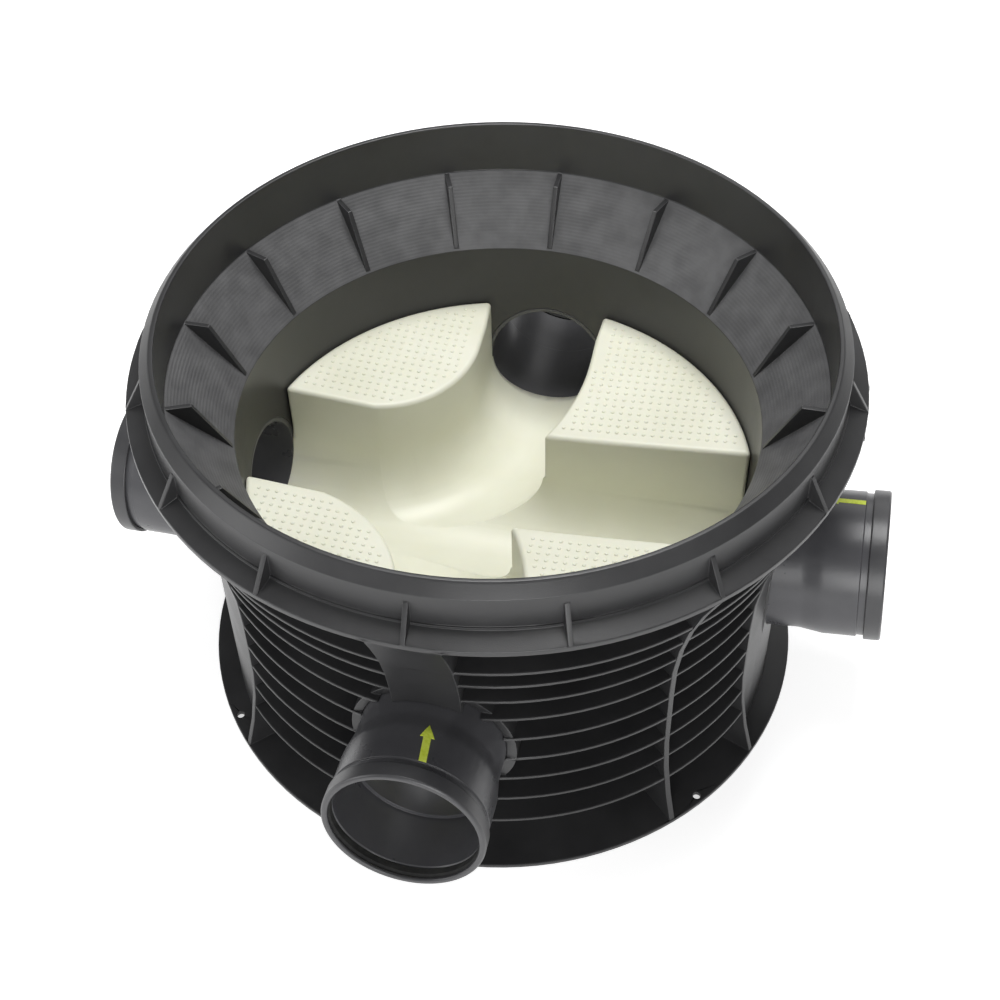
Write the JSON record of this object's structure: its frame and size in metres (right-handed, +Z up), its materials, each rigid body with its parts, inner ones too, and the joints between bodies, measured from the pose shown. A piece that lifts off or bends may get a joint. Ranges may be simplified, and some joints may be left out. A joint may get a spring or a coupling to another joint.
{
  "type": "drain inspection chamber",
  "caption": "Ribbed round drain inspection chamber base with a wide riser collar, pipe sockets at right angles and a pale benching insert with swept channels.",
  "frame": {"origin": "centre of the chamber on the ground, under the foot flange", "axes": "+Z up along the chamber's axis, -Y towards the front inlet, +X towards the right inlet, -X towards the outlet"},
  "size_m": [0.949, 0.949, 0.517],
  "materials": {
    "black_pp": "charcoal black moulded polypropylene, slightly glossy, fine mould texture",
    "socket_pp": "charcoal black moulded polypropylene, slightly smoother than the body",
    "cap_pp": "black moulded polypropylene ring, semi gloss",
    "cream_pp": "cream moulded polypropylene, satin",
    "seal_rubber": "black lip seal rubber"
  },
  "bodies": {
    "root": {"chamber_body": "black_pp", "benching": "cream_pp", "socket_front": "socket_pp", "socket_right": "socket_pp", "socket_rear": "socket_pp", "socket_left": "socket_pp", "seal_cap_front": "cap_pp", "seal_cap_right": "cap_pp", "seal_cap_rear": "cap_pp", "seal_cap_left": "cap_pp", "lip_seal_front": "seal_rubber", "lip_seal_right": "seal_rubber", "lip_seal_rear": "seal_rubber", "lip_seal_left": "seal_rubber"}
  },
  "joints": []
}
